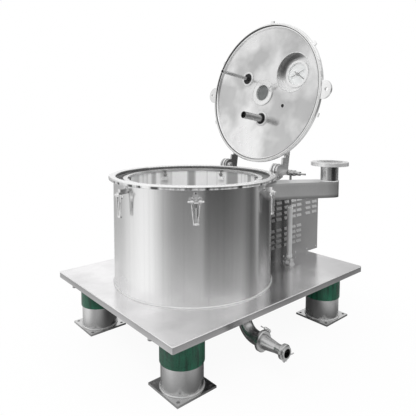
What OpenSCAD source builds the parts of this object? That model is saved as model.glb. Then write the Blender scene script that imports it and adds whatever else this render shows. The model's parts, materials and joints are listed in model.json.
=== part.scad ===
// Basket centrifuge on a four-legged base plate, lid open.
// Casing axis is the working axis; the whole machine is then centred on the floor.

/* [Base plate] */
// Length of the base plate along X
plate_len = 1619; // [1500:1:1800]
// Width of the base plate along Y
plate_wid = 1262; // [1200:1:1400]
// Thickness of the base plate
plate_th = 38; // [25:1:50]
// Height of the plate's top face above the floor
plate_top = 353; // [320:1:420]
// Offset of the plate's middle from the casing axis towards the motor
plate_off = 177; // [150:1:220]
// Corner radius of the plate
plate_corner = 8; // [4:1:14]
// Size of the round edge lugs under the plate
lug_d = 30; // [20:1:40]

/* [Legs] */
// Outer diameter of a leg
leg_d = 222; // [200:1:240]
// Leg centre in from the plate's end
leg_inset_x = 194; // [170:1:230]
// Leg centre in from the plate's side
leg_inset_y = 182; // [170:1:230]
// Side of the square foot plate
foot_side = 250; // [240:1:280]
// Thickness of the foot plate
foot_th = 12; // [8:1:16]
// Distance between anchor holes in a foot
foot_pitch = 206; // [190:1:220]
// Diameter of an anchor hole
foot_hole_d = 18; // [12:1:22]
// Outer diameter of the green sleeve
collar_d = 234; // [212:1:250]
// Length of the green sleeve below the plate
collar_len = 166; // [120:1:200]

/* [Casing] */
// Outer diameter of the casing
casing_d = 1000; // [900:1:1040]
// Wall thickness of the casing
casing_wall = 4; // [3:0.5:8]
// Thickness of the casing floor
casing_floor_th = 8; // [5:1:14]
// Height of the rim's top face above the plate
rim_height = 666; // [600:1:720]
// Depth of the rim band
rim_th = 24; // [16:1:30]
// How far the rim stands out from the casing
rim_out = 28.5; // [15:0.5:35]
// How far the rim reaches into the casing
rim_in = 15.5; // [5:0.5:30]
// Rounding of the rim's edges
rim_round = 9; // [3:1:11]

/* [Basket] */
// Gap between the casing wall and the basket wall
basket_gap = 71; // [60:1:100]
// Wall thickness of the basket
basket_wall_th = 6; // [4:1:10]
// Height of the basket wall
basket_h = 400; // [300:1:430]
// How far the lip ring stands out from the basket wall
lip_over = 15; // [5:1:30]
// How far the lip ring reaches in from the basket wall
lip_in = 7; // [2:1:12]
// Thickness of the lip ring
lip_th = 14; // [8:1:20]
// How far the lip lies below the rim's top face
lip_drop = 19; // [15:1:50]
// Diameter of a perforation
perf_d = 14; // [8:1:20]
// Perforations round each row
perf_n = 16; // [12:1:24]
// Rows of perforations
perf_rows = 4; // [2:1:5]
// Plain band above the perforations
perf_top = 130; // [40:1:160]
// Number of ball-ended hooks inside the lip
hook_n = 6; // [3:1:8]
// Turn of the first hook
hook_turn = 21; // [0:1:90]
// Diameter of a hook's ball
hook_ball_d = 24; // [16:1:28]
// Drop of the ball's middle below the lip's top face
hook_drop = 35; // [30:1:50]

/* [Spindle] */
// Diameter of the spindle
spindle_d = 70; // [50:1:90]
// Radial running clearance of the spindle
spindle_gap = 0.05; // [0.02:0.01:0.1]
// Diameter of the bearing housing
housing_d = 190; // [150:1:220]
// Room between the bearing housing and the basket
housing_gap = 50; // [30:1:80]
// Height of the belt guard under the plate
guard_h = 100; // [70:1:120]
// Half width of the belt guard
guard_r = 150; // [120:1:170]
// Belt centre distance from spindle to motor
belt_centres = 800; // [700:1:860]

/* [Motor cover] */
// Gap between the casing and the cover
cover_gap = 16; // [8:1:50]
// Length of the cover
cover_len = 605; // [540:1:680]
// Width of the cover
cover_wid = 358; // [300:1:420]
// Height of the cover
cover_h = 500; // [440:1:560]
// Rounding of the cover's upright edges
cover_round = 10; // [4:1:20]
// Length of a louvre
louvre_len = 56; // [40:1:70]
// Height of a louvre
louvre_h = 20; // [12:1:26]
// How far a louvre stands out
louvre_out = 9; // [4:1:12]
// Rise from one louvre to the next
louvre_pitch = 39; // [30:1:48]

/* [Vent] */
// Outer diameter of the vent pipe
vent_d = 108; // [89:1:120]
// Wall thickness of the vent pipe and duct
vent_wall = 4; // [3:0.5:6]
// Vent pipe axis beyond the casing along X
vent_side = 100; // [60:1:160]
// Vent pipe axis beyond the casing towards the front
vent_front = 110; // [70:1:140]
// Turn of the duct's root round the casing
duct_turn = -56.8; // [-65:0.1:-50]
// Outer diameter of the vent flange
flange_d = 229; // [210:1:240]
// Thickness of the vent flange
flange_th = 22; // [16:1:26]
// Bolt circle of the vent flange
flange_pcd = 190.5; // [170:0.5:200]
// Diameter of a flange bolt hole
flange_hole_d = 19; // [14:1:22]
// Bolt holes in the flange
flange_holes = 8; // [4:4:12]
// Height of the flange's top face above the plate
flange_top_h = 749; // [720:1:800]
// Depth of the duct
duct_h = 98; // [80:1:120]
// Drop of the duct's top below the rim's top face
duct_drop = 35; // [28:1:60]
// Half width of the duct where it leaves the casing
duct_half = 78; // [60:1:90]

/* [Lid] */
// How far the lid reaches past the casing
lid_over = 8; // [0:1:16]
// Width of the lid's rolled ring
lid_ring_w = 34; // [26:1:50]
// Depth of the lid's rolled ring
lid_ring_h = 24; // [18:1:32]
// Thickness of the lid plate
lid_th = 6; // [4:1:8]
// Depth of the lid plate inside the ring
lid_sink = 13; // [8:1:15]
// Angle of the open lid from closed
lid_open = 98.5; // [90:0.5:104]
// Gap left under the seal when the lid is down
lid_gap = 5; // [4:0.5:8]
// Thickness of the seal below the lid ring
seal_th = 4; // [3:0.5:6]
// Inner radius of the large sight nozzle
nozzle_r = 136; // [120:1:145]
// Height of the sight nozzle above the lid plate
nozzle_h = 62; // [50:1:80]
// Radius of the glass in the sight nozzle
nozzle_glass_r = 78; // [60:1:90]
// Width of the raised ring round that glass
nozzle_rim = 16; // [8:1:24]
// Radius of the middle sight hole
sight_r = 57; // [45:1:65]
// Length of the wash pipe below the lid
wash_len = 272; // [200:1:300]
// Diameter of the wash pipe
wash_d = 25; // [18:1:32]
// Length of the feed pipe below the lid
feed_len = 186; // [120:1:220]
// Outer diameter of the feed pipe
feed_d = 51; // [38:1:60]
// Bore of the feed pipe
feed_bore = 47.5; // [34:0.5:56]
// Diameter of the lifting ear
ear_d = 124; // [90:1:130]

/* [Hinge] */
// Hinge axis beyond the casing
hinge_out = 50; // [45:1:80]
// Hinge axis below the rim's top face
hinge_drop = 3; // [0:1:12]
// Thickness of a lid arm
arm_th = 14; // [10:1:18]
// Diameter of the hinge shaft
hinge_shaft_d = 28; // [20:1:34]
// Radial running clearance of the hinge shaft
hinge_gap = 0.05; // [0.02:0.01:0.1]
// Thickness of a hinge ear
hinge_ear_th = 12; // [8:1:16]
// Radius of a hinge ear
hinge_ear_r = 47; // [40:1:52]
// Middle of the front lid arm, towards the front
arm_front = 256; // [230:1:280]
// Middle of the back lid arm, towards the back
arm_back = 240; // [230:1:280]

/* [Lift cylinder] */
// Diameter of the cylinder
ram_d = 36; // [30:1:44]
// Diameter of the piston rod
rod_d = 16; // [12:1:20]
// Length of the cylinder body
ram_len = 359; // [320:1:370]
// Height of the foot pivot above the plate
ram_pivot_h = 32; // [26:1:44]
// Length of the lid lever from hinge to rod eye
lever_len = 91; // [80:1:110]

/* [Latches] */
// Length of a latch loop
bail_len = 122; // [100:1:130]
// Width of the latch cross bar
bar_len = 76; // [60:1:90]
// Thickness of the loop wire
wire_d = 8; // [6:1:10]
// Distance of the latch pivot from the casing
latch_out = 45; // [42:1:60]
// Latch pivot below the rim's top face
latch_drop = 78; // [70:1:90]

/* [Drain] */
// Outer diameter of the drain elbow
drain_d = 76; // [60:1:90]
// Wall thickness of the drain pipes
drain_wall = 2; // [1.5:0.5:4]
// Drain outlet offset from the casing axis
drain_x = -80; // [-120:1:-40]
// Vertical leg of the drain in front of the casing
drain_out = 40; // [30:1:60]
// Height of the drain outlet above the floor
drain_z = 207; // [180:1:230]
// Bend radius of the elbow
drain_bend = 92; // [76:1:100]
// Straight length of the elbow before the large clamp
stub_len = 33; // [20:1:40]
// Diameter of the outlet pipe
outlet_d = 51; // [38:1:60]
// Straight length of the outlet pipe
outlet_len = 36; // [20:1:50]
// Diameter of the large clamp
clamp_d = 112; // [100:1:125]
// Diameter of the small clamp
clamp_small_d = 80; // [70:1:90]
// Width of a clamp
clamp_w = 22; // [16:1:28]
// Length of the cone
cone_len = 84; // [60:1:100]

/* [Hidden] */
$fn = 96;
eps = 0.01;
steel = [0.80, 0.80, 0.81];
dark_steel = [0.55, 0.56, 0.57];
green = [0.10, 0.32, 0.22];
rubber = [0.12, 0.12, 0.12];
glass = [0.82, 0.88, 0.88, 0.4];
plate_x0 = plate_off - plate_len / 2;
plate_x1 = plate_off + plate_len / 2;
plate_bot = plate_top - plate_th;
lug_h = 14;
lug_y = 430;
leg_x = [plate_x0 + leg_inset_x, plate_x1 - leg_inset_x];
leg_y = plate_wid / 2 - leg_inset_y;
casing_r = casing_d / 2;
casing_in = casing_r - casing_wall;
floor_top = plate_top + casing_floor_th;
rim_top = plate_top + rim_height;
rim_bot = rim_top - rim_th;
rim_r = casing_r + rim_out;
lip_top = rim_top - lip_drop;
basket_bot = lip_top - lip_th - basket_h;
basket_r = casing_in - basket_gap;
basket_in = basket_r - basket_wall_th;
lip_r = basket_r + lip_over;
lip_in_r = basket_in - lip_in;
basket_floor_th = 12;
perf_low = 60;
hook_r = basket_in - 19;
hook_stem_r = 5;
hook_tab = 16;
hook_foot_w = 44;
hook_foot_h = 24;
hook_foot_out = 24;
hub_r = 80;
hub_top_r = 50;
hub_h = 60;
housing_r = housing_d / 2;
housing_top = basket_bot - housing_gap;
housing_below = 85;
housing_bot = plate_bot - housing_below;
housing_flange_w = 45;
housing_flange_th = 22;
housing_cap = 20;
spindle_neck = 25;
spindle_head_r = hub_r + 10;
head_gap = 6;
guard_bot = housing_bot - guard_h;
cover_x0 = casing_r + cover_gap;
cover_x1 = cover_x0 + cover_len;
cover_y = cover_wid / 2;
cover_top = plate_top + cover_h;
louvre_bite = 0.5;
louvre_lip = 2.5;
louvre_drop = 92;
louvre_split = 4;
flange_top = plate_top + flange_top_h;
duct_top = rim_top - duct_drop;
duct_bot = duct_top - duct_h;
vent_x = casing_r + vent_side;
vent_y = -casing_r - vent_front;
vent_r = vent_d / 2;
duct_end_r = vent_r + vent_wall;
duct_root = 22;
duct_tail = 90;
duct_ax = (casing_r - duct_root) * cos(duct_turn);
duct_ay = (casing_r - duct_root) * sin(duct_turn);
duct_ang = atan2(vent_y - duct_ay, vent_x - duct_ax);
seal_bot = rim_top + lid_gap;
lid_bot = seal_bot + seal_th;
lid_r = casing_r + lid_over;
lid_ring_in = lid_r - lid_ring_w;
lid_ring_round = 6;
lid_plate_bot = lid_bot + lid_sink;
lid_plate_top = lid_plate_bot + lid_th;
ring_top = lid_bot + lid_ring_h;
hinge_x = casing_r + hinge_out;
hinge_z = rim_top - hinge_drop;
ear_off = 6;
ear_th = 16;
ear_up = 4;
seal_in = 10;
ear_hole_off = 34;
ear_hole_r = 13;
catch_len = 24;
catch_w = 28;
catch_h = 10;
nozzle_x = -132;
nozzle_y = -251;
nozzle_wall = 6;
nozzle_cap = 12;
nozzle_rim_h = 14;
sight_wall = 6;
sight_rim = 35;
sight_h = 16;
port_x = 99;
port_y = -195;
port_r = 13;
port_wall = 7;
port_h = 40;
feed_x = 190;
feed_y = -12;
wash_x = -112;
wash_y = 164;
socket_r = 42;
socket_wall = 5;
socket_h = 30;
pipe_up = 90;
ferrule_w = 13;
ferrule_h = 7;
arm_rise = 42;
arm_top = ring_top + arm_rise;
arm_reach = 220;
arm_chamfer = 14;
arm_hub_r = 42;
arm_room = 16;
lever_eye_r = 20;
hub_gap = 16;
shaft_over = 8;
br_root = 90;
br_low = 96;
br_gap = 6;
br_back = 18;
br_block_len = 110;
br_block_h = 60;
br_side = 50;
shaft_r = hinge_shaft_d / 2;
tail_x = 5;
ram_x = hinge_x + tail_x * cos(lid_open) + lever_len * sin(lid_open);
eye_z = hinge_z - tail_x * sin(lid_open) + lever_len * cos(lid_open);
eye_th = 18;
eye_r = 20;
nut_r = 21;
nut_h = 30;
sleeve_r = 14;
sleeve_h = 42;
stud_r = 6.5;
stud_h = 42;
pin_gap = 5;
ram_y = -(arm_front + arm_th / 2 + pin_gap + eye_th / 2);
ram_pivot = plate_top + ram_pivot_h;
pivot_rise = 21;
pivot_pin_d = 14;
pivot_lug_r = 13;
pivot_lug_th = 16;
pivot_ear_r = 15;
pivot_ear_th = 8;
pivot_ear_y = 18;
ram_foot_x = 54;
ram_foot_y = 60;
ram_foot_th = 8;
ram_foot_root = 25;
ram_collar = 6;
ram_collar_h = 20;
ram_cap = 20;
rod_in = 24;
ram_bot = ram_pivot + pivot_rise;
ram_top = ram_bot + ram_len;
latch_r = casing_r + latch_out;
latch_z = rim_top - latch_drop;
latch_boss_w = 24;
latch_boss_r = 10;
latch_arm_h = 28;
latch_foot_y = 20;
latch_foot_len = 42;
latch_foot_tilt = 24;
bail_top_y = 22;
bail_low_y = 11;
bail_eye_w = 10;
bail_neck = 12;
lever_w = 12;
lever_th = 4;
lever_top = 32;
pin_clear = 0.05;
latch_angles = [65, 120, 182, 232.5, 288.5];
drain_front = casing_r + drain_out;
drain_lip_r = 32;
drain_lip_h = 8;
elbow_y = -drain_front - drain_bend;
clamp_a_y = elbow_y - stub_len;
cone_y = clamp_a_y - clamp_w;
clamp_b_y = cone_y - cone_len - outlet_len;
drain_end = clamp_b_y - clamp_w - drain_lip_h;
mid_x = (plate_x0 + cover_x1) / 2;
mid_y = (drain_end + plate_wid / 2) / 2;

// Places everything so that the machine's box is centred on the floor
module place() {
    translate([-mid_x, -mid_y, 0]) children();
}

// Lid pieces are drawn closed and swung open about the hinge axis
module swung() {
    place()
        translate([hinge_x, 0, hinge_z])
            rotate([0, lid_open, 0])
                translate([-hinge_x, 0, -hinge_z])
                    children();
}

// Rectangle with round corners, lower left corner at the origin
module round_rect(w, h, r) {
    translate([r, 0]) square([w - 2 * r, h]);
    translate([0, r]) square([w, h - 2 * r]);
    for (x = [r, w - r], y = [r, h - r]) {
        translate([x, y]) circle(r = r);
    }
}

// Plain ring standing on z = 0
module ring(r_out, r_in, h) {
    difference() {
        cylinder(r = r_out, h = h);
        translate([0, 0, -1]) cylinder(r = r_in, h = h + 2);
    }
}

// Upright plate with its middle plane at y = 0, drawn in X and Z
module upright(th) {
    translate([0, th / 2, 0])
        rotate([90, 0, 0])
            linear_extrude(height = th)
                children();
}

module base_plate() color(steel) place() {
    difference() {
        translate([plate_x0, -plate_wid / 2, plate_bot])
            linear_extrude(height = plate_th)
                round_rect(plate_len, plate_wid, plate_corner);
        translate([0, 0, plate_bot - 1]) cylinder(r = housing_r, h = plate_th + 2);
    }
    for (x = [plate_x0 + lug_d / 2 + 2, plate_x1 - lug_d / 2 - 2], y = [-lug_y, lug_y]) {
        translate([x, y, plate_bot - lug_h]) cylinder(d = lug_d, h = lug_h + 1);
    }
}

// One leg: spring housing on a square foot with four anchor holes
module leg(x, y) color(steel) place() translate([x, y, 0]) {
    difference() {
        translate([-foot_side / 2, -foot_side / 2, 0]) cube([foot_side, foot_side, foot_th]);
        for (sx = [-1, 1], sy = [-1, 1]) {
            translate([sx * foot_pitch / 2, sy * foot_pitch / 2, -1])
                cylinder(d = foot_hole_d, h = foot_th + 2, $fn = 32);
        }
    }
    translate([0, 0, foot_th]) cylinder(d = leg_d, h = plate_bot - foot_th);
}

// Rubber-coated sleeve round the top of a leg
module collar(x, y) color(green) place() translate([x, y, plate_bot - collar_len]) {
    ring(collar_d / 2, leg_d / 2, collar_len);
}

module casing_wall_part() color(steel) place() {
    difference() {
        translate([0, 0, floor_top]) ring(casing_r, casing_in, rim_bot - floor_top);
        translate([0, 0, duct_bot + vent_wall])
            linear_extrude(height = duct_h - 2 * vent_wall)
                duct_outline(vent_wall);
    }
}

module casing_floor() color(steel) place() {
    translate([0, 0, plate_top]) ring(casing_r, housing_r, casing_floor_th);
}

module casing_rim() color(steel) place() {
    translate([0, 0, rim_bot])
        rotate_extrude()
            translate([casing_r - rim_in, 0])
                round_rect(rim_in + rim_out, rim_th, rim_round);
}

module bearing_housing() color(dark_steel) place() {
    difference() {
        union() {
            translate([0, 0, housing_bot])
                cylinder(r = housing_r, h = housing_top - housing_bot);
            translate([0, 0, floor_top])
                cylinder(r = housing_r + housing_flange_w, h = housing_flange_th);
        }
        translate([0, 0, housing_bot + housing_cap])
            cylinder(r = spindle_d / 2 + spindle_gap, h = housing_top);
    }
}

// Closed belt guard under the plate, with a neck up to the motor's base
module belt_guard() color(dark_steel) place() {
    translate([0, 0, guard_bot]) {
        cylinder(r = guard_r, h = guard_h);
        translate([belt_centres, 0, 0]) cylinder(r = guard_r, h = guard_h);
        translate([0, -guard_r, 0]) cube([belt_centres, 2 * guard_r, guard_h]);
        translate([belt_centres, 0, 0]) cylinder(r = housing_r, h = plate_bot - guard_bot);
    }
}

module basket_wall() color(steel) place() {
    rise = (basket_h - perf_low - perf_top) / (perf_rows - 1);
    difference() {
        translate([0, 0, basket_bot]) ring(basket_r, basket_in, basket_h);
        for (k = [0 : perf_rows - 1], i = [0 : perf_n - 1]) {
            translate([0, 0, basket_bot + perf_low + k * rise])
                rotate([0, 90, (i + 0.5 * (k % 2)) * 360 / perf_n])
                    translate([0, 0, basket_in - 10])
                        cylinder(d = perf_d, h = basket_wall_th + 20, $fn = 16);
        }
    }
    for (i = [0 : hook_n - 1]) {
        rotate(hook_turn + i * 360 / hook_n)
            translate([basket_in - hook_foot_out, -hook_foot_w / 2,
                       lip_top - hook_drop - hook_ball_d / 2 - 2 - hook_foot_h])
                cube([hook_foot_out + 2, hook_foot_w, hook_foot_h]);
    }
}

module basket_floor() color(steel) place() {
    translate([0, 0, basket_bot]) cylinder(r = basket_in, h = basket_floor_th);
    translate([0, 0, basket_bot + basket_floor_th])
        cylinder(r1 = hub_r, r2 = hub_top_r, h = hub_h);
}

// Lip ring with ball-ended hooks that hang inside the basket wall
module basket_lip() color(steel) place() {
    translate([0, 0, lip_top - lip_th]) ring(lip_r, lip_in_r, lip_th);
    for (i = [0 : hook_n - 1]) {
        rotate(hook_turn + i * 360 / hook_n) {
            translate([hook_r - hook_stem_r - 2, -hook_tab / 2, lip_top - lip_th + 2])
                cube([lip_in_r - hook_r + hook_stem_r + 6, hook_tab, lip_th - 4]);
            translate([hook_r, 0, lip_top - hook_drop]) {
                cylinder(r = hook_stem_r, h = hook_drop - lip_th + 4, $fn = 24);
                sphere(d = hook_ball_d, $fn = 24);
            }
        }
    }
}

module spindle() color(dark_steel) place() {
    foot = housing_bot + housing_cap + 0.5;
    translate([0, 0, foot]) cylinder(d = spindle_d, h = basket_bot - foot);
    translate([0, 0, housing_top + head_gap])
        cylinder(r1 = spindle_d / 2 + spindle_neck, r2 = spindle_head_r,
                 h = housing_gap - head_gap);
}

// One pressed louvre: a wedge-shaped hood, open downwards
module louvre() {
    rotate([90, 0, 90])
        translate([0, 0, -louvre_len / 2])
            linear_extrude(height = louvre_len)
                polygon([[louvre_bite, 0], [-louvre_out, 0], [-louvre_out, louvre_lip],
                         [-louvre_lip, louvre_h], [louvre_bite, louvre_h]]);
}

// Louvres on one long side: share of the cover's length and count, column by column
module louvre_bank() {
    cols = [[0.073, 8], [0.198, 8], [0.344, 8], [0.469, 8], [0.579, 8], [0.759, 4], [0.896, 4]];
    for (c = cols, k = [0 : c[1] - 1]) {
        step = k < louvre_split ? k : k + 1;
        translate([cover_x0 + c[0] * cover_len, -cover_y,
                   cover_top - louvre_drop - step * louvre_pitch])
            louvre();
    }
}

module motor_cover() color(steel) place() {
    translate([cover_x0, -cover_y, plate_top])
        linear_extrude(height = cover_h)
            round_rect(cover_x1 - cover_x0, cover_wid, cover_round);
    louvre_bank();
    mirror([0, 1, 0]) louvre_bank();
}

// Plan of the duct, drawn in by t on each side
module duct_outline(t) {
    translate([duct_ax, duct_ay]) rotate(duct_ang) {
        len = norm([vent_x - duct_ax, vent_y - duct_ay]);
        polygon([[-duct_tail, duct_half - t], [-duct_tail, -duct_half + t],
                 [0, -duct_half + t],
                 [len, -duct_end_r + t], [len, duct_end_r - t], [0, duct_half - t]]);
        translate([len, 0]) circle(r = duct_end_r - t);
    }
}

module vent_duct() color(steel) place() {
    difference() {
        translate([0, 0, duct_bot]) linear_extrude(height = duct_h) duct_outline(0);
        translate([0, 0, duct_bot + vent_wall])
            linear_extrude(height = duct_h - 2 * vent_wall)
                duct_outline(vent_wall);
        translate([0, 0, duct_bot - 1]) cylinder(r = casing_r, h = duct_h + 2);
        translate([vent_x, vent_y, duct_bot + vent_wall])
            cylinder(r = vent_r - vent_wall, h = duct_h);
    }
}

module vent_pipe() color(steel) place() {
    translate([vent_x, vent_y, duct_top])
        ring(vent_r, vent_r - vent_wall, flange_top - flange_th - duct_top);
}

module vent_flange() color(steel) place() translate([vent_x, vent_y, flange_top - flange_th]) {
    difference() {
        cylinder(d = flange_d, h = flange_th);
        translate([0, 0, -1]) cylinder(r = vent_r - vent_wall, h = flange_th + 2);
        for (i = [0 : flange_holes - 1]) {
            rotate((i + 0.5) * 360 / flange_holes)
                translate([flange_pcd / 2, 0, -1])
                    cylinder(d = flange_hole_d, h = flange_th + 2, $fn = 32);
        }
    }
}

// Hinge bracket: two round-ended ears on a block fixed to the casing
module hinge_bracket(arm_y) color(steel) place() {
    ear_y = [arm_y + arm_th / 2 + pin_gap + hinge_ear_th / 2,
             arm_y + arm_th / 2 + pin_gap + hinge_ear_th * 1.5 + hub_gap];
    block_w = ear_y[1] - ear_y[0] + hinge_ear_th;
    difference() {
        union() {
            for (y = ear_y) {
                translate([0, y, 0]) upright(hinge_ear_th) {
                    translate([hinge_x, hinge_z]) circle(r = hinge_ear_r);
                    polygon([[casing_r - br_root, rim_bot - br_low],
                             [casing_r - br_root, rim_bot - br_gap],
                             [rim_r - br_back, rim_bot - br_gap],
                             [hinge_x - hinge_ear_r, hinge_z - br_gap],
                             [hinge_x - hinge_ear_r, hinge_z],
                             [hinge_x + hinge_ear_r, hinge_z],
                             [hinge_x + hinge_ear_r, hinge_z - br_side]]);
                }
            }
            translate([casing_r - br_root, ear_y[0] - hinge_ear_th / 2, rim_bot - br_low])
                cube([br_block_len, block_w, br_block_h]);
        }
        translate([0, 0, rim_bot - 2 * br_low]) cylinder(r = casing_r, h = 4 * br_low);
        translate([hinge_x, ear_y[0] - block_w, hinge_z])
            rotate([-90, 0, 0])
                cylinder(r = shaft_r + hinge_gap, h = 4 * block_w);
    }
}

// Foot of the lift cylinder: base plate with two ears and a pin
module cylinder_foot() color(steel) place() translate([ram_x, ram_y, plate_top]) {
    translate([-ram_foot_x / 2, -ram_foot_y / 2, 0]) cube([ram_foot_x, ram_foot_y, ram_foot_th]);
    for (y = [-pivot_ear_y, pivot_ear_y]) {
        translate([0, y, 0]) upright(pivot_ear_th) {
            translate([0, ram_pivot_h]) circle(r = pivot_ear_r, $fn = 48);
            polygon([[-ram_foot_root, ram_foot_th - 1], [ram_foot_root, ram_foot_th - 1],
                     [pivot_ear_r - 0.5, ram_pivot_h], [0.5 - pivot_ear_r, ram_pivot_h]]);
        }
    }
    translate([0, -ram_foot_y / 2 + 2, ram_pivot_h])
        rotate([-90, 0, 0])
            cylinder(d = pivot_pin_d, h = ram_foot_y - 4, $fn = 48);
}

module cylinder_body() color(steel) place() translate([ram_x, ram_y, 0]) {
    difference() {
        union() {
            translate([0, 0, ram_bot]) cylinder(d = ram_d, h = ram_len);
            translate([0, 0, ram_top - ram_collar_h])
                cylinder(d = ram_d + ram_collar, h = ram_collar_h);
            translate([0, 0, ram_bot]) cylinder(d = ram_d + ram_collar, h = ram_collar_h - 4);
            translate([0, 0, ram_pivot]) upright(pivot_lug_th) {
                circle(r = pivot_lug_r, $fn = 48);
                translate([-pivot_lug_r + 0.5, 0]) square([2 * pivot_lug_r - 1, pivot_rise + 2]);
            }
        }
        translate([0, 0, ram_bot + ram_cap])
            cylinder(d = rod_d + 2 * pin_clear, h = ram_len, $fn = 48);
        translate([0, -pivot_lug_th, ram_pivot])
            rotate([-90, 0, 0])
                cylinder(d = pivot_pin_d + 2 * pin_clear, h = 2 * pivot_lug_th, $fn = 48);
    }
}

// Piston rod with a flat eye beside the lid lever, its nut and the lock stud
module cylinder_rod() color(steel) place() translate([ram_x, ram_y, 0]) {
    foot = ram_bot + rod_in;
    translate([0, 0, foot]) cylinder(d = rod_d, h = eye_z - eye_r / 2 - foot, $fn = 48);
    translate([0, 0, eye_z]) upright(eye_th) circle(r = eye_r, $fn = 48);
    translate([0, 0, eye_z]) rotate([90, 0, 0]) {
        cylinder(r = nut_r, h = eye_th / 2 + nut_h, $fn = 6);
        cylinder(r = sleeve_r, h = eye_th / 2 + nut_h + sleeve_h);
        cylinder(r = stud_r, h = eye_th / 2 + nut_h + sleeve_h + stud_h, $fn = 48);
    }
}

module lid_plate() color(steel) swung() {
    difference() {
        union() {
            translate([0, 0, lid_plate_bot]) cylinder(r = lid_ring_in, h = lid_th);
            translate([port_x, port_y, lid_plate_bot])
                cylinder(r = port_r + port_wall, h = port_h);
        }
        translate([0, 0, lid_plate_bot - 1]) cylinder(r = sight_r + sight_wall, h = lid_th + 2);
        translate([nozzle_x, nozzle_y, lid_plate_bot - 1])
            cylinder(r = nozzle_r + nozzle_wall, h = lid_th + 2);
        translate([feed_x, feed_y, lid_plate_bot - 1]) cylinder(r = socket_r, h = lid_th + 2);
        translate([wash_x, wash_y, lid_plate_bot - 1]) cylinder(r = socket_r, h = lid_th + 2);
        translate([port_x, port_y, lid_plate_bot - 1])
            cylinder(r = port_r, h = port_h - port_wall + 1, $fn = 32);
    }
}

// Rolled ring of the lid with two lifting ears and the latch catches
module lid_ring() color(steel) swung() {
    translate([0, 0, lid_bot])
        rotate_extrude()
            translate([lid_ring_in, 0])
                round_rect(lid_ring_w, lid_ring_h, lid_ring_round);
    for (s = [-1, 1]) {
        difference() {
            translate([0, s * (lid_r + ear_off), lid_bot + ear_up])
                cylinder(d = ear_d, h = ear_th);
            translate([0, 0, lid_bot]) cylinder(r = lid_r - ear_off, h = lid_ring_h);
            translate([0, s * (lid_r + ear_hole_off), lid_bot])
                cylinder(r = ear_hole_r, h = lid_ring_h, $fn = 32);
        }
    }
    for (a = latch_angles) {
        rotate(a)
            translate([lid_r - ear_off, -catch_w / 2, ring_top - catch_h - 4])
                cube([catch_len, catch_w, catch_h]);
    }
}

module lid_seal() color(rubber) swung() {
    translate([0, 0, seal_bot])
        ring(lid_r - seal_in, lid_ring_in + seal_in, seal_th);
}

// Lid arm with its hinge shaft; the lever side carries the rod's lug
module lid_arm(arm_y, lever) color(dark_steel) swung() {
    shaft_len = arm_th / 2 + pin_gap + 2 * hinge_ear_th + hub_gap + shaft_over;
    arm_x0 = hinge_x - arm_reach;
    inner_y = abs(arm_y) - arm_th / 2;
    step_x = sqrt(lid_r * lid_r - inner_y * inner_y) + arm_room;
    translate([0, arm_y, 0]) {
        upright(arm_th) {
            polygon([[arm_x0, ring_top], [arm_x0, arm_top - arm_chamfer],
                     [arm_x0 + arm_chamfer, arm_top], [hinge_x + arm_chamfer, arm_top],
                     [hinge_x + arm_hub_r - 0.5, hinge_z], [hinge_x - arm_hub_r + 0.5, hinge_z],
                     [hinge_x - arm_hub_r, lid_bot], [step_x, lid_bot], [step_x, ring_top]]);
            translate([hinge_x, hinge_z]) circle(r = arm_hub_r);
            if (lever) {
                translate([hinge_x + tail_x, hinge_z + lever_len]) circle(r = lever_eye_r);
                translate([hinge_x + tail_x - lever_eye_r + 0.5, arm_top - arm_chamfer])
                    square([2 * lever_eye_r - 1, hinge_z + lever_len - arm_top + arm_chamfer]);
            }
        }
        translate([hinge_x, 0, hinge_z])
            rotate([-90, 0, 0])
                cylinder(r = shaft_r, h = shaft_len);
    }
}

// Wide sight nozzle with a flat cover and a raised ring round the glass
module sight_nozzle() color(steel) swung() translate([nozzle_x, nozzle_y, lid_plate_bot]) {
    ring(nozzle_r + nozzle_wall, nozzle_r, nozzle_h);
    translate([0, 0, nozzle_h]) ring(nozzle_r + nozzle_wall, nozzle_glass_r, nozzle_cap);
    translate([0, 0, nozzle_h - nozzle_rim_h])
        ring(nozzle_glass_r + nozzle_rim, nozzle_glass_r, nozzle_rim_h + 1);
}

module sight_nozzle_glass() color(glass) swung() translate([nozzle_x, nozzle_y, 0]) {
    translate([0, 0, lid_plate_bot + nozzle_h]) cylinder(r = nozzle_glass_r, h = nozzle_cap);
}

// Middle sight hole: a flat ring on each side of the plate round one sleeve
module sight_ring() color(steel) swung() translate([0, 0, lid_plate_bot]) {
    translate([0, 0, -sight_wall]) ring(sight_r + sight_rim, sight_r, sight_wall);
    translate([0, 0, -sight_wall]) ring(sight_r + sight_wall, sight_r, sight_h);
    translate([0, 0, lid_th]) ring(sight_r + sight_rim, sight_r, sight_h);
}

module sight_ring_glass() color(glass) swung() {
    translate([0, 0, lid_plate_top + sight_h / 4]) cylinder(r = sight_r, h = sight_h / 2);
}

// Pipe through the lid in a round socket
module through_pipe(x, y, d, bore, below) {
    translate([x, y, lid_plate_bot]) difference() {
        union() {
            cylinder(r = socket_r, h = socket_h);
            translate([0, 0, -below]) cylinder(d = d, h = below + pipe_up);
            translate([0, 0, pipe_up - ferrule_h]) cylinder(d = d + ferrule_w, h = ferrule_h);
        }
        translate([0, 0, -below - 1]) cylinder(d = bore, h = below + pipe_up + 2);
        difference() {
            translate([0, 0, -1]) cylinder(r = socket_r - socket_wall, h = socket_h - 10);
            translate([0, 0, -1]) cylinder(d = d, h = socket_h - 10);
        }
    }
}

module wash_pipe() color(steel) swung() {
    through_pipe(wash_x, wash_y, wash_d, wash_d - 2 * drain_wall, wash_len);
}

module feed_pipe() color(steel) swung() {
    through_pipe(feed_x, feed_y, feed_d, feed_bore, feed_len);
}

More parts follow.
